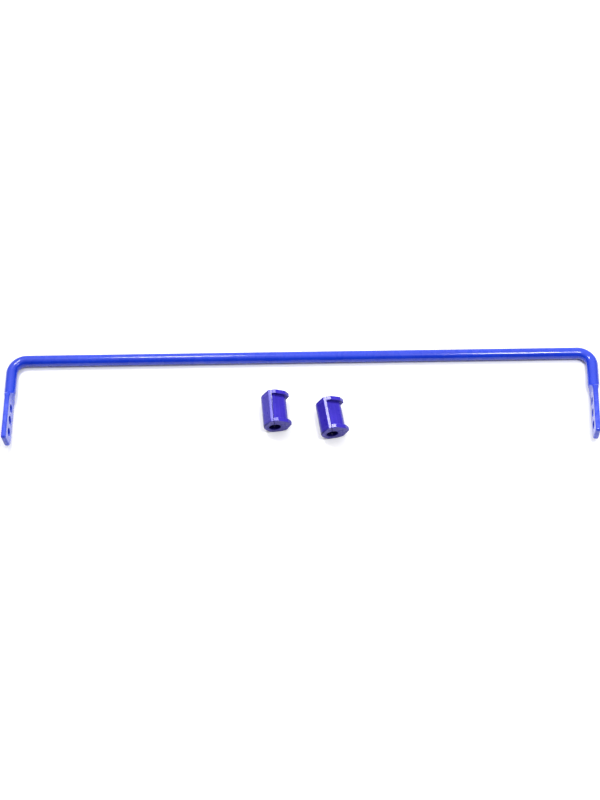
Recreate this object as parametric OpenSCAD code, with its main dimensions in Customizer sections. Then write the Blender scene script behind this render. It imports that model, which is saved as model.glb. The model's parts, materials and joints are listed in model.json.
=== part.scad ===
// Rear sway bar set: a round spring-steel bar bent into a shallow U, with forged and drilled link ends,
// and its two split polyurethane bushes lying loose in front of it.
// Millimetres. +X runs along the bar, the arms point towards -Y, +Z is up and the floor is z = 0.
// The bar lies as it comes to rest: on its straight span and on the lower shoulders of both link ends.

/* [Bar] */
// Diameter of the round bar
bar_d = 17; // [14:0.5:26]
// Distance between the two corners in which the centre lines of the span and the arms meet
bar_span = 870; // [500:2:1200]
// Centre-line radius of each bend
bend_r = 21; // [20:1:60]
// Length of an arm, from its corner to its tip
arm_reach = 142; // [120:1:260]
// Angle by which each arm turns inwards from square
arm_toe = 3; // [0:0.5:8]

/* [Link ends] */
// Height of the flattened link end
link_w = 32; // [28:1:44]
// Thickness of the flattened link end
link_t = 7.5; // [6:0.5:12]
// Distance from the start of the link end to the first hole's centre
link_root_gap = 25; // [23:1:40]
// Length over which the round bar thins down to the link end
forge_l = 16; // [8:1:16]
// Length over which the link end widens at its shoulder
shoulder_l = 7; // [3:1:16]
// Radius of the long edges of the link end
link_edge_r = 2.5; // [1:0.5:2.9]
// Radius of the upper corner at the tip
tip_top_r = 4; // [2:1:13]
// Radius of the lower corner at the tip
tip_low_r = 9; // [3:1:13]
// Diameter of the link holes
link_hole_d = 12; // [8:0.5:14]
// Number of link holes in each arm
link_holes = 3; // [1:1:3]
// Distance between neighbouring link holes
link_pitch = 20; // [16:1:24]
// Distance from the last hole's centre to the tip
link_tip_gap = 18; // [12:1:22]

/* [Bushes] */
// Radial clearance of the bush bore around the bar
bush_clearance = 0.05; // [0.02:0.01:0.1]
// Length of a bush along its bore
bush_l = 51; // [40:1:80]
// Wall of the round side, from the bore outwards
bush_wall = 8; // [6:0.5:12]
// Distance from the bore's wall to the flat top
bush_top = 13.5; // [11:0.5:18]
// Distance from the bore's wall to the flat side
bush_side = 16.5; // [13:0.5:22]
// Thickness of the end flanges along the bore
bush_flange_l = 6; // [4:0.5:10]
// Depth of the strap seat below the flanges' top and roof
seat_top_depth = 5.5; // [3:0.5:6]
// Depth of the strap seat at the slit, from where it slopes down
seat_slit_depth = 3.5; // [2:0.5:5]
// Depth of the strap seat behind the flanges' side
seat_side_depth = 4.5; // [3:0.5:6]
// Width of the flat top on the round side of the slit
facet_w = 4.5; // [3:0.5:8]
// Width of the flat top on the seat's side of the slit
brow_w = 6.5; // [5:0.5:8]
// Angle at which the flanges' roof slopes down from the flat top
roof_angle = 33; // [20:1:40]
// Distance from the flat side back to the roof's lower end
nose_back = 5; // [3:0.5:7]
// Height of the side's corner above the bore's axis
nose_v = 3; // [1:0.5:4]
// Distance from the flat side back to the chin
chin_back = 8; // [6:0.5:10]
// Height of the chin above the floor
chin_up = 4; // [3:0.5:6]
// Width of the flat foot, from below the bore
foot_w = 9; // [6:0.5:10]
// Width of the slit that lets the bush open over the bar
bush_slit_w = 1; // [0.6:0.1:2]
// Chamfer at both mouths of the bore
bush_mouth = 1; // [0.5:0.25:2]

/* [Placing of the loose bushes] */
// Left bush: its centre from the middle of the span, along X
left_bush_x = -37; // [-200:1:-34]
// Left bush: its centre in front of the span, along -Y
left_bush_y = 93; // [60:1:140]
// Left bush: turn about the vertical
left_bush_turn = 6; // [-45:1:45]
// Right bush: its centre from the middle of the span, along X
right_bush_x = 45; // [34:1:200]
// Right bush: its centre in front of the span, along -Y
right_bush_y = 105; // [60:1:140]
// Right bush: turn about the vertical
right_bush_turn = 10; // [-45:1:45]

/* [Hidden] */
$fn = 96;
bar_r = bar_d / 2;
bend_angle = 90 + arm_toe;
// Distance from an arm's corner to where its bend starts and ends
tangent_l = bend_r * tan(bend_angle / 2);
straight_l = bar_span - 2 * tangent_l;
first_hole = arm_reach - link_tip_gap - (link_holes - 1) * link_pitch;
link_start = first_hole - link_root_gap;
shoulder_end = link_start + shoulder_l;

// The bar rests on the span's underside and on the lower corner behind each shoulder.
rest_x = link_t / 2 - link_edge_r;
rest_y = shoulder_end * cos(arm_toe) - rest_x * sin(arm_toe);
rest_tilt = atan2(link_w / 2, rest_y) - asin(bar_r / norm([rest_y, link_w / 2]));

// The round lower corner of the tip reaches furthest forward, and sets the middle of the part's depth.
tip_y = (arm_reach - tip_low_r) * cos(arm_toe) + link_t / 2 * sin(arm_toe);
tip_round = tip_low_r * norm([cos(arm_toe) * cos(rest_tilt), sin(rest_tilt)]);
tip_front = tip_y * cos(rest_tilt) + (link_w / 2 - tip_low_r) * sin(rest_tilt) + tip_round;
span_y = (tip_front - bar_r) / 2;

bore_r = bar_r + bush_clearance;
round_r = bore_r + bush_wall;
top_v = bore_r + bush_top;
side_u = bore_r + bush_side;
// The flanges' corners on the seat's side of the bore, from the flat top down to the foot
roof_w = side_u - nose_back - brow_w;
chin = [side_u - chin_back, chin_up - round_r];
flange_corners = [
    [0, top_v],
    [brow_w, top_v],
    [brow_w + roof_w, top_v - roof_w * tan(roof_angle)],
    [side_u, nose_v],
    chin,
    [foot_w, -round_r]
];
// The link end's height at its root, inside the round bar
root_share = 0.8;
// How far a piece runs into its neighbour, or a cutter past the piece that it cuts
overlap = 1;

module blue() {
    color([0.13, 0.24, 0.82]) children();
}

module violet() {
    color([0.25, 0.2, 0.66]) children();
}

// Puts the bar's own plane (span along X, arms along -Y, axis at z = 0) where the bar lies.
module lying_bar() {
    translate([0, span_y, bar_r]) rotate([-rest_tilt, 0, 0]) children();
}

module rounded_rectangle(w, h, r) {
    square([w - 2 * r, h], center = true);
    square([w, h - 2 * r], center = true);
    for (x = [-1, 1], y = [-1, 1]) {
        translate([x * (w / 2 - r), y * (h / 2 - r)]) circle(r = r);
    }
}

module torsion_span() {
    blue() lying_bar() rotate([0, 90, 0]) cylinder(d = bar_d, h = straight_l, center = true);
}

// Side view of the flattened end: x is the distance along the arm, y the height.
module link_side_view() {
    root_half = root_share * bar_r;
    polygon([
        [link_start, -root_half],
        [shoulder_end, -link_w / 2],
        [arm_reach - tip_low_r, -link_w / 2],
        [arm_reach - tip_low_r, tip_low_r - link_w / 2],
        [arm_reach, tip_low_r - link_w / 2],
        [arm_reach, link_w / 2 - tip_top_r],
        [arm_reach - tip_top_r, link_w / 2 - tip_top_r],
        [arm_reach - tip_top_r, link_w / 2],
        [shoulder_end, link_w / 2],
        [link_start, root_half]
    ]);
    translate([arm_reach - tip_low_r, tip_low_r - link_w / 2]) circle(r = tip_low_r);
    translate([arm_reach - tip_top_r, link_w / 2 - tip_top_r]) circle(r = tip_top_r);
}

// Plan view of the round bar as it thins down: x is across the arm, y the distance along it.
module forging_plan() {
    polygon([
        [-bar_r, link_start - overlap],
        [bar_r, link_start - overlap],
        [bar_r, link_start],
        [link_t / 2, link_start + forge_l],
        [link_t / 2, link_start + forge_l + bar_r],
        [-link_t / 2, link_start + forge_l + bar_r],
        [-link_t / 2, link_start + forge_l],
        [-bar_r, link_start]
    ]);
}

// One arm with its corner at the origin, along -Y: the bend, the round shank and the flattened, drilled end.
module arm_shape() {
    translate([-bend_r, -tangent_l]) rotate_extrude(angle = bend_angle) {
        translate([bend_r, 0]) circle(d = bar_d);
    }
    translate([0, -tangent_l]) rotate([90, 0, 0]) cylinder(d = bar_d, h = link_start - tangent_l);
    difference() {
        union() {
            intersection() {
                rotate([0, 0, 180]) linear_extrude(link_w, center = true) forging_plan();
                rotate([90, 0, 0]) cylinder(d = bar_d, h = arm_reach);
            }
            intersection() {
                rotate([0, 0, -90]) rotate([90, 0, 0]) linear_extrude(link_t, center = true) link_side_view();
                rotate([90, 0, 0]) linear_extrude(arm_reach + overlap) {
                    rounded_rectangle(link_t, link_w, link_edge_r);
                }
            }
        }
        for (i = [0 : link_holes - 1]) {
            translate([0, -first_hole - i * link_pitch, 0]) rotate([0, 90, 0])
                cylinder(d = link_hole_d, h = 2 * bar_d, center = true);
        }
    }
}

module right_arm() {
    blue() lying_bar() translate([bar_span / 2, 0, 0]) rotate([0, 0, -arm_toe]) arm_shape();
}

module left_arm() {
    mirror([1, 0, 0]) right_arm();
}

// The direction in which the line from the flat top's left end touches a circle around the bore.
function touch_angle(r) = atan2(top_v, -facet_w) + acos(r / norm([facet_w, top_v]));

// The outward normal of the outline's edge from p to q.
function edge_normal(p, q) = [p.y - q.y, q.x - p.x] / norm(q - p);

// Corner q of an outline, between corners p and r, with its two edges moved inwards by depths a and b.
function inset_corner(p, q, r, a, b) =
    let (m = edge_normal(p, q), n = edge_normal(q, r), u = q * m - a, v = q * n - b)
    [u * n.y - v * m.y, m.x * v - n.x * u] / (m.x * n.y - m.y * n.x);

// The flange corner after number i, with its two edges moved inwards by depths a and b.
function inset_flange_corner(i, a, b) =
    inset_corner(flange_corners[i], flange_corners[i + 1], flange_corners[i + 2], a, b);

// Outline of the bush's end flanges, seen along the bore: x to the right, y up, bore at the origin.
module flange_outline() {
    touch = touch_angle(round_r);
    circle(r = round_r);
    polygon(concat([
        [0, -round_r],
        [round_r * cos(touch), round_r * sin(touch)],
        [-facet_w, top_v]
    ], flange_corners));
}

// Outline between the flanges: full height on the round side of the slit, the strap seat on the other.
module seat_outline() {
    touch = touch_angle(round_r);
    depths = [seat_top_depth, seat_top_depth, seat_side_depth, seat_side_depth];
    circle(r = round_r);
    polygon([
        [round_r * cos(touch), round_r * sin(touch)],
        [-facet_w, top_v],
        [0, top_v],
        [0, 0]
    ]);
    polygon(concat(
        [[0, 0], [0, top_v - seat_slit_depth]],
        [for (i = [0 : 2]) inset_flange_corner(i, depths[i], depths[i + 1])],
        [round_r * chin / norm(chin)]
    ));
}

// A bush lying with its bore along Y and its lowest side on the floor, centred over the origin.
module bush_shape() {
    translate([0, 0, round_r]) rotate([90, 0, 0]) difference() {
        union() {
            linear_extrude(bush_l, center = true) seat_outline();
            for (side = [-1, 1]) {
                translate([0, 0, side * (bush_l - bush_flange_l) / 2]) {
                    linear_extrude(bush_flange_l, center = true) flange_outline();
                }
            }
        }
        cylinder(r = bore_r, h = bush_l + overlap, center = true);
        for (side = [0, 1]) mirror([0, 0, side]) {
            translate([0, 0, bush_l / 2 - bush_mouth]) {
                cylinder(r1 = bore_r, r2 = bore_r + 2 * bush_mouth, h = 2 * bush_mouth);
            }
        }
        translate([-bush_slit_w, 0, -bush_l]) cube([bush_slit_w, 2 * top_v, 2 * bush_l]);
    }
}

module left_bush() {
    violet() translate([left_bush_x, span_y - left_bush_y, 0]) rotate([0, 0, left_bush_turn]) bush_shape();
}

module right_bush() {
    violet() translate([right_bush_x, span_y - right_bush_y, 0]) rotate([0, 0, right_bush_turn]) bush_shape();
}

torsion_span();
left_arm();
right_arm();
left_bush();
right_bush();
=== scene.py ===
"""A rear sway bar set on a pale studio floor.

The powder-coated bar is swept along its centre line and ends in forged, drilled link ends.
The two split polyurethane bushes are lofted along their bores.
Lengths are in metres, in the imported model's frame.
"""

import json
import math

import bmesh
import bpy
from mathutils import Matrix, Vector


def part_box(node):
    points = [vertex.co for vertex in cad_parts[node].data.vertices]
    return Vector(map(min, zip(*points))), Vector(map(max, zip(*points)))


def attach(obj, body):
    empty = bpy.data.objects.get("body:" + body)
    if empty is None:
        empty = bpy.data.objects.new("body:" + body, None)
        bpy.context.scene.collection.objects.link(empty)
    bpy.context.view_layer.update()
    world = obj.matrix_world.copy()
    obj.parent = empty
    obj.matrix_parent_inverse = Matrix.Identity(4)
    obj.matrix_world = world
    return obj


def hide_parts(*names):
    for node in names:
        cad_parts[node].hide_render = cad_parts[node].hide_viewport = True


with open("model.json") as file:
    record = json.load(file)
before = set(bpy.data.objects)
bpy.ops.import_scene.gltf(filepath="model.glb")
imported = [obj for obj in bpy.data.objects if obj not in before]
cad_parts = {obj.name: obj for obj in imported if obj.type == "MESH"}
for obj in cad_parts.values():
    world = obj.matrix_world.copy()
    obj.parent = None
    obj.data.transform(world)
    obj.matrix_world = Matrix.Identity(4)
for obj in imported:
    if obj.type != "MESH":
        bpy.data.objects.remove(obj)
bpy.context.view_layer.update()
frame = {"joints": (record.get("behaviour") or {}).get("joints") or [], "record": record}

mounts = {mount["name"]: mount for mount in frame["record"]["mounts"]}
joints = {joint["name"]: joint for joint in frame["joints"]}

# Link ends
LINK_W = 0.032
LINK_EDGE_R = 0.0025
LINK_TIP_GAP = 0.018
TIP_TOP_R = 0.004
TIP_LOW_R = 0.009
ROOT_GAP = 0.025  # from the start of the link end to the first hole's centre
FORGE_L = 0.019  # over which the round bar thins down
SHOULDER_L = 0.008  # over which it widens
LOFT_L = 0.020  # from the round bar to the finished link end
LOFT_LEAD = 0.004  # by which it starts before the link end
HOLE_RIM_R = 0.0008
SEAM_RUN = 0.0003  # of straight bar before the bend, for an unbroken sheen across the seam
BAR_SHARP_ANGLE = 50  # degrees over which an edge of the bar is crisp

# Bushes
BUSH_L = 0.051
BUSH_WALL = 0.008
BUSH_TOP = 0.0135
BUSH_SIDE = 0.0165
FLANGE_L = 0.006
SEAT_TOP_DEPTH = 0.0055
SEAT_SLIT_DEPTH = 0.0035
SEAT_SIDE_DEPTH = 0.0045
FACET_W = 0.0045
BROW_W = 0.0065
ROOF_ANGLE = math.radians(33)
NOSE_BACK = 0.005  # from the roof's end to the flange's widest point
NOSE_V = 0.003
CHIN_BACK = 0.008
CHIN_UP = 0.004
FOOT_W = 0.009
END_ROUNDING = 0.0006
SHOULDER_R = 0.0024  # of the round side's ends
SHOULDER_START = 0.25  # share of the round side's half-width at which that radius starts to grow
SHOULDER_RISE = 2.2  # how steeply it grows
CORNER_RADII = (0.0002, 0.0007, 0.0012, 0.0014, 0.0015, 0.001)  # from the slit round to the foot
FACET_R = 0.0008
SLIT_EDGE_R = 0.0002
FLANGE_EDGE_R = 0.0006
SEAT_CORNER_R = 0.0008
SLIT_W = 0.0005
MOUTH = 0.0006
BUSH_SHARP_ANGLE = 40  # degrees over which an edge of a bush is crisp

# How finely curves are cut
ARC_STEPS = 8
LONG_STEPS = 14
SHORT_STEPS = 6
BEND_STEPS = 64
HOLE_STEPS = 48
BORE_STEPS = 72
ROUND_STEPS = 40
CORNER_STEPS = 5
SPAN_STEPS = 40
SHANK_STEPS = 24
LOFT_STEPS = 34
PLATE_STEPS = 5
RIM_STEPS = 4
SHOULDER_STEPS = 10
END_STEPS = 4

# Wear of the coat, from 0 on a plain surface to 1 on an edge
FACE_WEAR = 0.2
HOLE_WEAR = 0.3

# Studio, fitted to the photograph's light and viewing angle
FLOOR_HALF_W = 6
TENT_LEAN = (0, 0.55, 0.835)  # the direction in which the tent is brightest
TENT_DARK = 0.10
TENT_BRIGHT = 1.9
BACKDROP = 0.95
CAMERA_LENS = 56.94
CAMERA_PLACE = (0.0822, -0.7977, 1.7015)
CAMERA_YAW = math.radians(-5.809)
CAMERA_DOWN = math.radians(64.780)
CAMERA_ROLL = math.radians(-6.013)


# Shared mesh helpers


def arc(centre, radius, start, end, steps):
    """Points of an arc in a plane, both ends included; the angles are in degrees."""
    angles = [math.radians(start + (end - start) * i / steps) for i in range(steps + 1)]
    return [centre + radius * Vector((math.cos(a), math.sin(a))) for a in angles]


def smooth(t):
    """Eases from 0 to 1 as t goes from 0 to 1."""
    t = min(max(t, 0.0), 1.0)
    return t * t * (3 - 2 * t)


def bridge(bm, ring, other, closed=True):
    """Joins two rings of vertices with quads, or triangles where they share a vertex."""
    count = len(ring)
    for i in range(count if closed else count - 1):
        corners = [ring[i], ring[(i + 1) % count], other[(i + 1) % count], other[i]]
        corners = list(dict.fromkeys(corners))
        if len(corners) > 2:
            bm.faces.new(corners)


def fill(bm, loops):
    """Fills a flat face that has the first loop as its outline and the others as holes."""
    edges = []
    for loop in loops:
        for a, b in zip(loop, loop[1:] + loop[:1]):
            edges.append(bm.edges.get((a, b)) or bm.edges.new((a, b)))
    bmesh.ops.triangle_fill(bm, use_beauty=True, use_dissolve=False, edges=edges)


def finish_piece(bm, name, material, sharp_angle):
    """Makes the piece from its bmesh, with smooth rounds and flat faces."""
    bmesh.ops.remove_doubles(bm, verts=bm.verts, dist=1e-7)
    bmesh.ops.recalc_face_normals(bm, faces=bm.faces)
    mesh = bpy.data.meshes.new(name)
    bm.to_mesh(mesh)
    bm.free()
    for polygon in mesh.polygons:
        polygon.use_smooth = True
    mesh.set_sharp_from_angle(angle=math.radians(sharp_angle))
    piece = bpy.data.objects.new(name, mesh)
    bpy.context.scene.collection.objects.link(piece)
    mesh.materials.append(material)
    weighted = piece.modifiers.new("flat_faces", "WEIGHTED_NORMAL")
    weighted.keep_sharp = True
    weighted.weight = 100
    return piece


# Materials


def shader(name):
    """A new material with its node tree, its Principled shader and its object coordinates."""
    material = bpy.data.materials.new(name)
    material.use_nodes = True
    tree = material.node_tree
    principled = tree.nodes["Principled BSDF"]
    coordinates = tree.nodes.new("ShaderNodeTexCoord")
    return material, tree, principled, coordinates.outputs["Object"]


def noise(tree, vector, scale, detail=2.0, roughness=0.5, stretch=(1, 1, 1)):
    mapping = tree.nodes.new("ShaderNodeMapping")
    mapping.inputs["Scale"].default_value = stretch
    tree.links.new(vector, mapping.inputs["Vector"])
    texture = tree.nodes.new("ShaderNodeTexNoise")
    texture.inputs["Scale"].default_value = scale
    texture.inputs["Detail"].default_value = detail
    texture.inputs["Roughness"].default_value = roughness
    tree.links.new(mapping.outputs["Vector"], texture.inputs["Vector"])
    return texture.outputs["Fac"]


def remap(tree, value, low, high, to_low, to_high):
    """Maps a value from the range low to high onto the range to_low to to_high."""
    node = tree.nodes.new("ShaderNodeMapRange")
    sockets = ("From Min", "From Max", "To Min", "To Max")
    for socket, number in zip(sockets, (low, high, to_low, to_high)):
        node.inputs[socket].default_value = number
    tree.links.new(value, node.inputs["Value"])
    return node.outputs["Result"]


def mix_colour(tree, factor, a, b):
    """Mixes two colours, each a socket or a plain colour."""
    node = tree.nodes.new("ShaderNodeMix")
    node.data_type = "RGBA"
    tree.links.new(factor, node.inputs["Factor"])
    for socket, colour in ((node.inputs[6], a), (node.inputs[7], b)):
        if isinstance(colour, tuple):
            socket.default_value = (*colour, 1)
        else:
            tree.links.new(colour, socket)
    return node.outputs[2]


def combine(tree, operation, a, b):
    node = tree.nodes.new("ShaderNodeMath")
    node.operation = operation
    for socket, value in zip(node.inputs, (a, b)):
        if isinstance(value, (int, float)):
            socket.default_value = value
        else:
            tree.links.new(value, socket)
    return node.outputs[0]


def bump(tree, height, distance, normal=None):
    node = tree.nodes.new("ShaderNodeBump")
    node.inputs["Distance"].default_value = distance
    tree.links.new(height, node.inputs["Height"])
    if normal is not None:
        tree.links.new(normal, node.inputs["Normal"])
    return node.outputs["Normal"]


def attribute(tree, name):
    """A value that the piece's mesh holds at each vertex."""
    node = tree.nodes.new("ShaderNodeAttribute")
    node.attribute_name = name
    return node.outputs["Fac"]


def powder_coat():
    """Glossy royal blue powder coat: orange peel, slow shifts of tone, a thinner film on the edges."""
    deep_blue, royal_blue = (0.004, 0.028, 0.46), (0.006, 0.036, 0.52)
    speck_blue, thin_film_blue = (0.004, 0.018, 0.32), (0.05, 0.08, 0.60)
    material, tree, principled, place = shader("powder_coat_blue")
    tone = remap(tree, noise(tree, place, 22, detail=3), 0.3, 0.7, 0, 1)
    film = mix_colour(tree, tone, deep_blue, royal_blue)
    speck = remap(tree, noise(tree, place, 2600, detail=1), 0.66, 0.74, 0, 0.35)
    film = mix_colour(tree, speck, film, speck_blue)
    patchy = remap(tree, noise(tree, place, 160, 4), 0.35, 0.65, 0.1, 0.8)
    worn = combine(tree, "MULTIPLY", attribute(tree, "edge"), patchy)
    film = mix_colour(tree, worn, film, thin_film_blue)
    tree.links.new(film, principled.inputs["Base Color"])
    sheen_map = remap(tree, noise(tree, place, 60, detail=4), 0.3, 0.7, 0.25, 0.30)
    tree.links.new(sheen_map, principled.inputs["Roughness"])
    principled.inputs["Coat Weight"].default_value = 0.6
    principled.inputs["Coat Roughness"].default_value = 0.05
    principled.inputs["Coat IOR"].default_value = 1.5
    principled.inputs["Specular IOR Level"].default_value = 0.15
    peel = bump(tree, noise(tree, place, 420, detail=2, roughness=0.4), 0.00006)
    fine = bump(tree, noise(tree, place, 1500, detail=2), 0.000012, peel)
    tree.links.new(fine, principled.inputs["Normal"])
    tree.links.new(peel, principled.inputs["Coat Normal"])
    return material


def polyurethane():
    """Satin violet polyurethane: flow marks along the bore, paler rubbed edges, and painted shade in the
    bore and on the round side's shoulders.
    """
    deep_violet, violet = (0.014, 0.008, 0.22), (0.022, 0.013, 0.28)
    flow_violet, rubbed_violet = (0.040, 0.024, 0.32), (0.08, 0.06, 0.42)
    painted_shade_violet = (0.002, 0.001, 0.06)
    material, tree, principled, place = shader("polyurethane_violet")
    tone = remap(tree, noise(tree, place, 55, detail=3), 0.3, 0.7, 0, 1)
    body = mix_colour(tree, tone, deep_violet, violet)
    flow = noise(tree, place, 700, detail=3, stretch=(1, 1, 0.05))
    body = mix_colour(tree, remap(tree, flow, 0.45, 0.7, 0, 0.5), body, flow_violet)
    patchy = remap(tree, noise(tree, place, 240, 4), 0.3, 0.7, 0.2, 0.7)
    rubbed = combine(tree, "MULTIPLY", attribute(tree, "edge"), patchy)
    body = mix_colour(tree, rubbed, body, rubbed_violet)
    # Painted shade: the bore and the round side's shoulders, which the mesh marks, are darkened towards
    # near-black violet.
    painted_shade_amount = combine(tree, "MULTIPLY", attribute(tree, "painted_shade"), 0.8)
    body = mix_colour(tree, painted_shade_amount, body, painted_shade_violet)
    tree.links.new(body, principled.inputs["Base Color"])
    satin = remap(tree, noise(tree, place, 180, 4), 0.3, 0.7, 0.24, 0.38)
    tree.links.new(satin, principled.inputs["Roughness"])
    principled.inputs["Specular IOR Level"].default_value = 0.12
    principled.inputs["Coat Weight"].default_value = 0.12
    principled.inputs["Coat Roughness"].default_value = 0.14
    marks = bump(tree, flow, 0.00004)
    skin = bump(tree, noise(tree, place, 1300, detail=3), 0.00002, marks)
    tree.links.new(skin, principled.inputs["Normal"])
    return material


def studio_paper():
    """Plain white paper with a very slight change of tone."""
    material, tree, principled, place = shader("studio_paper")
    tone = remap(tree, noise(tree, place, 3, detail=2), 0.3, 0.7, 0, 1)
    paper = mix_colour(tree, tone, (0.90, 0.90, 0.90), (0.92, 0.92, 0.92))
    tree.links.new(paper, principled.inputs["Base Color"])
    principled.inputs["Roughness"].default_value = 0.9
    principled.inputs["Specular IOR Level"].default_value = 0.1
    return material


# The bar


class ArmLine:
    """Centre line of one bent arm, taken from its twist joint and its link holes."""

    def __init__(self, side):
        holes = [mounts[f"{side}_link_hole_{place}"] for place in ("inner", "middle", "outer")]
        centres = [Vector(hole["pos_m"]) for hole in holes]
        self.end = Vector(joints[f"{side}_arm_twist"]["pos_m"])
        self.out = Vector((math.copysign(1, self.end.x), 0, 0))
        self.along = (centres[-1] - centres[0]).normalized()
        self.fore = (self.along - self.along.dot(self.out) * self.out).normalized()
        self.up = self.out.cross(self.fore)
        if self.up.z < 0:
            self.up = -self.up
        self.turn = math.acos(self.along.dot(self.out))
        reach = (centres[0] - self.end).dot(self.fore) / self.along.dot(self.fore)
        self.corner = centres[0] - self.along * reach
        self.tangent_l = (self.corner - self.end).dot(self.out)
        self.bend_r = self.tangent_l / math.tan(self.turn / 2)
        self.holes = [(centre - self.corner).dot(self.along) for centre in centres]
        self.hole_r = holes[0]["dims"]["r_mm"] / 1000
        self.link_t = holes[0]["dims"]["length_mm"] / 1000

    def across(self, angle):
        """The direction that points to the outside of the bend, after turning by angle."""
        return math.sin(angle) * self.out - math.cos(angle) * self.fore

    def point(self, distance, across, up):
        """A point of the straight arm, by its distance from the corner."""
        return self.corner + self.along * distance + self.across(self.turn) * across + self.up * up


def link_section(link_t):
    """Cross-section of the flattened end as (across, up), from the lower end of its outer face."""
    side = link_t / 2 - LINK_EDGE_R
    flat = LINK_W / 2 - LINK_EDGE_R
    section = []
    before = Vector((link_t / 2, -flat))
    for quarter, (x, z) in enumerate(((side, flat), (-side, flat), (-side, -flat), (side, -flat))):
        rounded = arc(Vector((x, z)), LINK_EDGE_R, 90 * quarter, 90 * quarter + 90, ARC_STEPS)
        steps = SHORT_STEPS if quarter % 2 else LONG_STEPS
        section += [before.lerp(rounded[0], i / steps) for i in range(steps)]
        section += rounded[:-1]
        before = rounded[-1]
    return section


def bar_section(section, link_t, bar_r):
    """The round bar's cross-section, with a point for each point of the link end's."""
    angles = [math.atan2(p.y / LINK_W, p.x / link_t) for p in section]
    return [bar_r * Vector((math.cos(a), math.sin(a))) for a in angles]


def ring(bm, section, origin, across, up):
    """The vertices of a cross-section, placed across the centre line at origin."""
    return [bm.verts.new(origin + across * p.x + up * p.y) for p in section]


def build_span(line_left, line_right, section, coat):
    """The straight of the bar, between the two twist joints."""
    bm = bmesh.new()
    rings = []
    for i in range(SPAN_STEPS + 1):
        origin = line_left.end.lerp(line_right.end, i / SPAN_STEPS)
        rings.append(ring(bm, section, origin, line_right.across(0), line_right.up))
    for a, b in zip(rings, rings[1:]):
        bridge(bm, a, b)
    bm.faces.new(rings[0])
    bm.faces.new(rings[-1])
    return finish_piece(bm, "bar_span", coat, BAR_SHARP_ANGLE)


def plate_outline(line, inset):
    """Outline of the link end in side view as (distance, up), from the top of its root round the tip."""
    root = line.holes[0] - ROOT_GAP - LOFT_LEAD + LOFT_L
    tip = line.holes[-1] + LINK_TIP_GAP
    half_w = LINK_W / 2
    top_centre = Vector((tip - TIP_TOP_R, half_w - TIP_TOP_R))
    low_centre = Vector((tip - TIP_LOW_R, TIP_LOW_R - half_w))
    top = arc(top_centre, TIP_TOP_R - inset, 90, 0, CORNER_STEPS * 2)
    low = arc(low_centre, TIP_LOW_R - inset, 0, -90, CORNER_STEPS * 3)
    start = Vector((root, half_w - inset))
    end = Vector((root, inset - half_w))
    outline = [start.lerp(top[0], i / PLATE_STEPS) for i in range(PLATE_STEPS)]
    outline += top
    outline += low
    outline += [low[-1].lerp(end, i / PLATE_STEPS) for i in range(1, PLATE_STEPS + 1)]
    return outline


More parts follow.
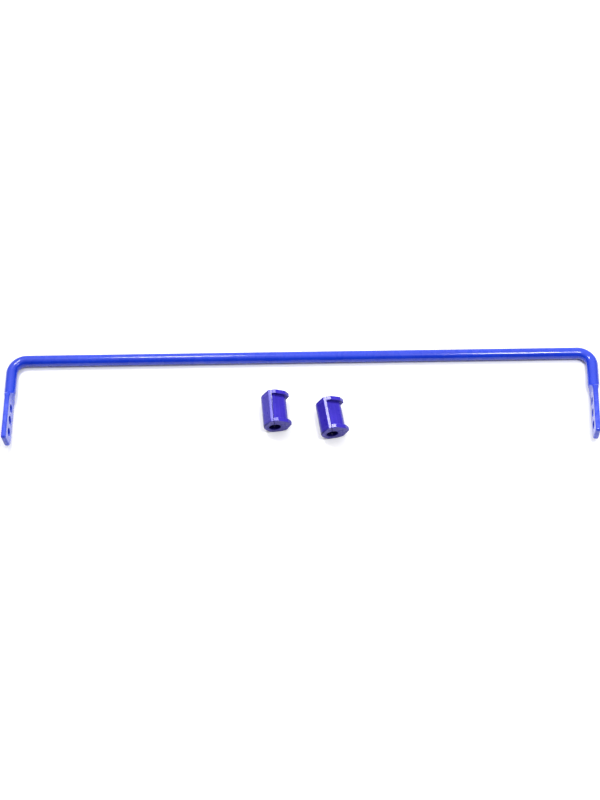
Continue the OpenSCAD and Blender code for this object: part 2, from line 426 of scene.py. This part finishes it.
def build_arm(side, line, flat_section, round_section, coat):
    """Bend, round shank, forged transition and the rounded, drilled link end, as one closed mesh."""
    bm = bmesh.new()
    edge = bm.verts.layers.float.new("edge")
    rings = [ring(bm, round_section, line.end, line.across(0), line.up)]
    centre = line.end + line.fore * line.bend_r
    for i in range(BEND_STEPS + 1):
        angle = line.turn * i / BEND_STEPS
        across = line.across(angle)
        origin = centre + across * line.bend_r
        if i == 0:
            origin = origin + line.out * SEAM_RUN
        rings.append(ring(bm, round_section, origin, across, line.up))
    root = line.holes[0] - ROOT_GAP - LOFT_LEAD
    for i in range(1, SHANK_STEPS):
        distance = line.tangent_l + (root - line.tangent_l) * i / SHANK_STEPS
        rings.append([bm.verts.new(line.point(distance, p.x, p.y)) for p in round_section])
    for i in range(LOFT_STEPS + 1):
        run = LOFT_L * i / LOFT_STEPS
        thin, wide = smooth(run / FORGE_L), smooth((run - LOFT_LEAD) / SHOULDER_L)
        made = []
        for r, f in zip(round_section, flat_section):
            across = r.x + (f.x - r.x) * thin
            up = r.y + (f.y - r.y) * wide
            made.append(bm.verts.new(line.point(root + run, across, up)))
        rings.append(made)
    for a, b in zip(rings, rings[1:]):
        bridge(bm, a, b)
    bm.faces.new(rings[0])

    # The rim runs from one flat face over the top edge, round the tip and back along the lower edge.
    last = rings[-1]
    rim_steps = 2 * ARC_STEPS + SHORT_STEPS
    top_rim = [last[LONG_STEPS + k] for k in range(rim_steps + 1)]
    low_rim = [last[-k] for k in range(rim_steps + 1)]
    rim = flat_section[LONG_STEPS : LONG_STEPS + rim_steps + 1]
    profile = [(p.x, LINK_W / 2 - p.y) for p in rim]
    tracks = []
    for k, (across, inset) in enumerate(profile):
        outline = plate_outline(line, inset)
        track = [bm.verts.new(line.point(p.x, across, p.y)) for p in outline[1:-1]]
        for vertex in track:
            vertex[edge] = 1.0 if 0 < k < rim_steps else FACE_WEAR
        tracks.append([top_rim[k], *track, low_rim[k]])
    for a, b in zip(tracks, tracks[1:]):
        bridge(bm, a, b, closed=False)

    half_t = line.link_t / 2
    rounding = arc(Vector((0, 0)), HOLE_RIM_R, 0, 90, RIM_STEPS)
    turns = [2 * math.pi * i / HOLE_STEPS for i in range(HOLE_STEPS)]
    rim_depth = 0.8 * HOLE_RIM_R
    mouths = {1: [], -1: []}
    for distance in line.holes:
        levels = [(half_t - HOLE_RIM_R + p.x, line.hole_r + HOLE_RIM_R - p.y) for p in rounding]
        levels += [(-x, r) for x, r in reversed(levels)]
        bands = []
        for x, r in levels:
            band = []
            for t in turns:
                place = line.point(distance + r * math.cos(t), x, r * math.sin(t))
                vertex = bm.verts.new(place)
                vertex[edge] = 1.0 if abs(x) > half_t - rim_depth else HOLE_WEAR
                band.append(vertex)
            bands.append(band)
        for a, b in zip(bands, bands[1:]):
            bridge(bm, a, b)
        mouths[1].append(bands[0])
        mouths[-1].append(bands[-1])
    outer_root = last[: LONG_STEPS + 1]
    half = LONG_STEPS + rim_steps
    inner_root = last[half : half + LONG_STEPS + 1]
    fill(bm, [outer_root + tracks[0][1:-1], *mouths[1]])
    fill(bm, [inner_root + tracks[-1][-2:0:-1], *mouths[-1]])
    return finish_piece(bm, f"bar_{side}_arm", coat, BAR_SHARP_ANGLE)


# The bushes


def fillet(before, corner, after, radius):
    """The arc that rounds a corner of an outline."""
    into = (before - corner).normalized()
    away = (after - corner).normalized()
    half = into.angle(away) / 2
    reach = min(radius / math.tan(half), 0.45 * min((before - corner).length, (after - corner).length))
    radius = reach * math.tan(half)
    centre = corner + (into + away).normalized() * (radius / math.sin(half))
    start = corner + into * reach - centre
    end = corner + away * reach - centre
    turn = start.angle_signed(end)
    points = []
    for i in range(CORNER_STEPS + 1):
        a = -turn * i / CORNER_STEPS
        points.append(centre + Matrix.Rotation(a, 2) @ start)
    return points


def inset_corner(before, corner, after, depth_in, depth_out):
    """The corner of an outline whose two edges were moved inwards."""
    m = (corner - before).normalized()
    n = (after - corner).normalized()
    m = Vector((-m.y, m.x))
    n = Vector((-n.y, n.x))
    if m.dot(corner) < 0:
        m, n = -m, -n
    u = corner.dot(m) - depth_in
    v = corner.dot(n) - depth_out
    return Vector((u * n.y - v * m.y, m.x * v - n.x * u)) / (m.x * n.y - m.y * n.x)


def touch_degrees(radius, top):
    """Where the line from the flat top's left end touches a circle round the bore."""
    return math.degrees(math.atan2(top, -FACET_W) + math.acos(radius / math.hypot(FACET_W, top)))


def bush_outlines(bore_r):
    """The outer outline at the end flanges and between them, as (across, up) round from the slit."""
    round_r = bore_r + BUSH_WALL
    top = bore_r + BUSH_TOP
    side = bore_r + BUSH_SIDE
    roof_w = side - NOSE_BACK - BROW_W
    corners = [Vector(p) for p in (
        (0, top),
        (BROW_W, top),
        (BROW_W + roof_w, top - roof_w * math.tan(ROOF_ANGLE)),
        (side, NOSE_V),
        (side - CHIN_BACK, CHIN_UP - round_r),
        (FOOT_W, -round_r),
        (0, -round_r),
    )]
    wall_foot = Vector((0, bore_r))
    depths = (SEAT_TOP_DEPTH, SEAT_TOP_DEPTH, SEAT_SIDE_DEPTH, SEAT_SIDE_DEPTH)
    flange = []
    path = [wall_foot] + corners
    for i, radius in enumerate(CORNER_RADII):
        flange += fillet(path[i], path[i + 1], path[i + 2], radius)
    flange.append(corners[-1])

    chin_foot = corners[4].normalized() * round_r
    low_corners = [Vector((0, top - SEAT_SLIT_DEPTH))]
    for i in range(3):
        low_corners.append(inset_corner(*corners[i : i + 3], depths[i], depths[i + 1]))
    low_path = [wall_foot] + low_corners + [chin_foot]
    seat = []
    for i, radius in enumerate(CORNER_RADII[:4]):
        seat += fillet(low_path[i], low_path[i + 1], low_path[i + 2], radius)
    seat += [p.normalized() * round_r for p in flange[len(seat) :]]

    left = arc(Vector((0, 0)), round_r, 270, touch_degrees(round_r, top), ROUND_STEPS)[1:]
    facet_end = Vector((-FACET_W, top))
    slit = Vector((-SLIT_W, top))
    left += fillet(left[-1], facet_end, slit, FACET_R)
    left += fillet(facet_end, slit, Vector((-SLIT_W, bore_r)), SLIT_EDGE_R)
    return flange, seat, left


def step_profile(foot, depth, outer_r, inner_r):
    """Rounded step from an outer to an inner surface as (place along the bore, share of the depth)."""
    angles = [math.pi / 2 * i / END_STEPS for i in range(END_STEPS + 1)]
    profile = []
    for a in angles:
        profile.append((foot + outer_r * (1 - math.sin(a)), outer_r * (1 - math.cos(a)) / depth))
    for a in angles:
        profile.append((foot - inner_r * (1 - math.cos(a)), 1 - inner_r * (1 - math.sin(a)) / depth))
    return profile


def bush_levels():
    """Half of the bush along its bore: place, and share of the way from flange to seat."""
    half = BUSH_L / 2
    places = [half - MOUTH]
    for radius, steps in ((SHOULDER_R, SHOULDER_STEPS), (END_ROUNDING, END_STEPS)):
        places += [half - radius * (1 - math.cos(math.pi / 2 * i / steps)) for i in range(steps + 1)]
    levels = [(w, 0) for w in sorted(set(places), reverse=True)]
    return levels + step_profile(half - FLANGE_L, SEAT_TOP_DEPTH, FLANGE_EDGE_R, SEAT_CORNER_R)


def end_inset(w, radius):
    """How far a rounded end of that radius draws the outline in, at a place along the bore."""
    run = max(0.0, radius - (BUSH_L / 2 - abs(w)))
    return radius - math.sqrt(max(0.0, radius**2 - run**2))


def build_bush(side, rubber):
    """A split bush, lofted along its bore from one end's outline to the other's."""
    bore = mounts[f"{side}_bush_bore"]
    bore_r = bore["dims"]["r_mm"] / 1000
    right_flange, right_seat, left = bush_outlines(bore_r)
    flange = right_flange + left
    seat = right_seat + left
    count = len(flange)
    normals = []
    for i in range(count):
        step = flange[min(i + 1, count - 1)] - flange[max(i - 1, 0)]
        normals.append(Vector((-step.y, step.x)).normalized())
    # The shoulder's radius grows from the crisp facet and foot to the middle of the round side.
    shoulders = []
    for place in flange:
        share = smooth(-place.x / (bore_r + BUSH_WALL) - SHOULDER_START) if place.x < 0 else 0
        growth = min(1, SHOULDER_RISE * share)
        shoulders.append(END_ROUNDING + (SHOULDER_R - END_ROUNDING) * growth)

    bm = bmesh.new()
    edge = bm.verts.layers.float.new("edge")
    painted_shade = bm.verts.layers.float.new("painted_shade")
    half = BUSH_L / 2
    pale_end = half - 0.9 * END_ROUNDING
    painted_shade_bore_end = half - MOUTH / 2
    step_edge = 0.12  # share of the step's depth that is rubbed pale
    levels = bush_levels()
    levels += [(-w, share) for w, share in reversed(levels)]
    loops = []
    for w, share in levels:
        loop = []
        for i in range(count):
            inset = end_inset(w, shoulders[i])
            place = flange[i].lerp(seat[i], share) - normals[i] * inset
            vertex = bm.verts.new((place.x, place.y, w))
            near_end = abs(w) > pale_end
            vertex[edge] = 1.0 if near_end or 0 < share < step_edge else 0.0
            # Painted shade on the round side's shoulders, just inside the rounded ends.
            on_shaded_shoulder = shoulders[i] > 2 * END_ROUNDING and abs(w) > half - SHOULDER_R
            vertex[painted_shade] = 1.0 if on_shaded_shoulder and not near_end else 0.0
            loop.append(vertex)
        radius = bore_r + max(0.0, MOUTH - (half - abs(w)))
        start = math.degrees(math.acos(-SLIT_W / radius))
        for p in arc(Vector((0, 0)), radius, start, 450, BORE_STEPS):
            vertex = bm.verts.new((p.x, p.y, w))
            # Painted shade down the bore, up to its mouths.
            vertex[painted_shade] = 1.0 if abs(w) < painted_shade_bore_end else 0.0
            loop.append(vertex)
        loops.append(loop)
    for a, b in zip(loops, loops[1:]):
        bridge(bm, a, b)
    fill(bm, [loops[0]])
    fill(bm, [loops[-1]])
    piece = finish_piece(bm, f"{side}_split_bush", rubber, BUSH_SHARP_ANGLE)
    axis = Vector(bore["axis"])
    up = Vector((0, 0, 1))
    placed = Matrix((up.cross(axis), up, axis)).transposed().to_4x4()
    placed.translation = Vector(bore["pos_m"])
    piece.matrix_world = placed
    return piece


# The studio


def soft_light(name, place, aim, size, power):
    """A soft box at place that points at aim; its size is width and height, its power in watts."""
    light = bpy.data.lights.new(name, "AREA")
    light.shape = "RECTANGLE"
    light.size, light.size_y = size
    light.energy = power
    lamp = bpy.data.objects.new(name, light)
    lamp.location = place
    lamp.rotation_euler = (Vector(aim) - Vector(place)).to_track_quat("-Z", "Y").to_euler()
    bpy.context.scene.collection.objects.link(lamp)
    return lamp


def build_studio(bushes):
    """Paper floor, white tent and three soft boxes, one of which lights only the bushes."""
    bm = bmesh.new()
    bmesh.ops.create_grid(bm, x_segments=8, y_segments=8, size=FLOOR_HALF_W)
    mesh = bpy.data.meshes.new("floor")
    bm.to_mesh(mesh)
    bm.free()
    floor = bpy.data.objects.new("floor", mesh)
    floor.location.z = -0.0001  # just under the object, so that no faces coincide
    mesh.materials.append(studio_paper())
    bpy.context.scene.collection.objects.link(floor)

    build_sky()
    soft_light("back_left", (-0.41, 0.63, 1.49), (-0.18, 0.06, 0), (0.34, 0.24), 11)
    soft_light("back_right", (0.54, -0.13, 1.57), (0.33, 0.06, 0), (0.40, 0.24), 13)
    glint = soft_light("bush_glint", (0.04, 0.64, 1.49), (0.045, -0.04, 0.04), (0.30, 0.30), 24)
    lit = bpy.data.collections.new("glint_receivers")
    for bush in bushes:
        lit.objects.link(bush)
    glint.light_linking.receiver_collection = lit


def build_sky():
    """A white tent, bright overhead and behind, dark on the camera's side near the floor."""
    world = bpy.data.worlds.new("studio")
    world.use_nodes = True
    tree = world.node_tree
    background = tree.nodes["Background"]
    background.inputs["Color"].default_value = (1, 1, 1, 1)
    direction = tree.nodes.new("ShaderNodeTexCoord").outputs["Generated"]
    lean = tree.nodes.new("ShaderNodeVectorMath")
    lean.operation = "DOT_PRODUCT"
    lean.inputs[1].default_value = TENT_LEAN
    tree.links.new(direction, lean.inputs[0])
    tent = remap(tree, lean.outputs["Value"], 0.25, 0.97, TENT_DARK, TENT_BRIGHT)
    seen = tree.nodes.new("ShaderNodeLightPath").outputs["Is Camera Ray"]
    strength = tree.nodes.new("ShaderNodeMix")
    tree.links.new(seen, strength.inputs["Factor"])
    tree.links.new(tent, strength.inputs[2])
    strength.inputs[3].default_value = BACKDROP
    tree.links.new(strength.outputs[0], background.inputs["Strength"])
    bpy.context.scene.world = world


def build_camera():
    """The photograph's viewing angle: above and in front of the bar, slightly rolled."""
    camera = bpy.data.objects.new("camera", bpy.data.cameras.new("camera"))
    camera.data.sensor_width = 36
    camera.data.lens = CAMERA_LENS
    camera.data.clip_start = 0.05
    camera.data.clip_end = 50
    yaw = Matrix.Rotation(-CAMERA_YAW, 3, "Z")
    pitch = Matrix.Rotation(math.pi / 2 - CAMERA_DOWN, 3, "X")
    roll = Matrix.Rotation(CAMERA_ROLL, 3, "Z")
    camera.rotation_mode = "QUATERNION"
    camera.rotation_quaternion = (yaw @ pitch @ roll).to_quaternion()
    camera.location = CAMERA_PLACE
    bpy.context.scene.collection.objects.link(camera)
    bpy.context.scene.camera = camera


left_line = ArmLine("left")
right_line = ArmLine("right")
span_low, span_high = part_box("torsion_span")
bar_r = round((span_high.z - span_low.z) / 2, 4)  # the faceted box is a hair off the round size
flat_section = link_section(left_line.link_t)
round_section = bar_section(flat_section, left_line.link_t, bar_r)
coat = powder_coat()
rubber = polyurethane()

pieces = [
    (build_span(left_line, right_line, round_section, coat), "torsion_span", "powder_coat"),
    (build_arm("left", left_line, flat_section, round_section, coat), "left_arm", "powder_coat"),
    (build_arm("right", right_line, flat_section, round_section, coat), "right_arm", "powder_coat"),
    (build_bush("left", rubber), "left_bush", "polyurethane"),
    (build_bush("right", rubber), "right_bush", "polyurethane"),
]
for piece, node, slot in pieces:
    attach(piece, node)
    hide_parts(node)

build_studio([piece for piece, node, slot in pieces if slot == "polyurethane"])
build_camera()
bpy.context.scene.view_settings.view_transform = "Standard"
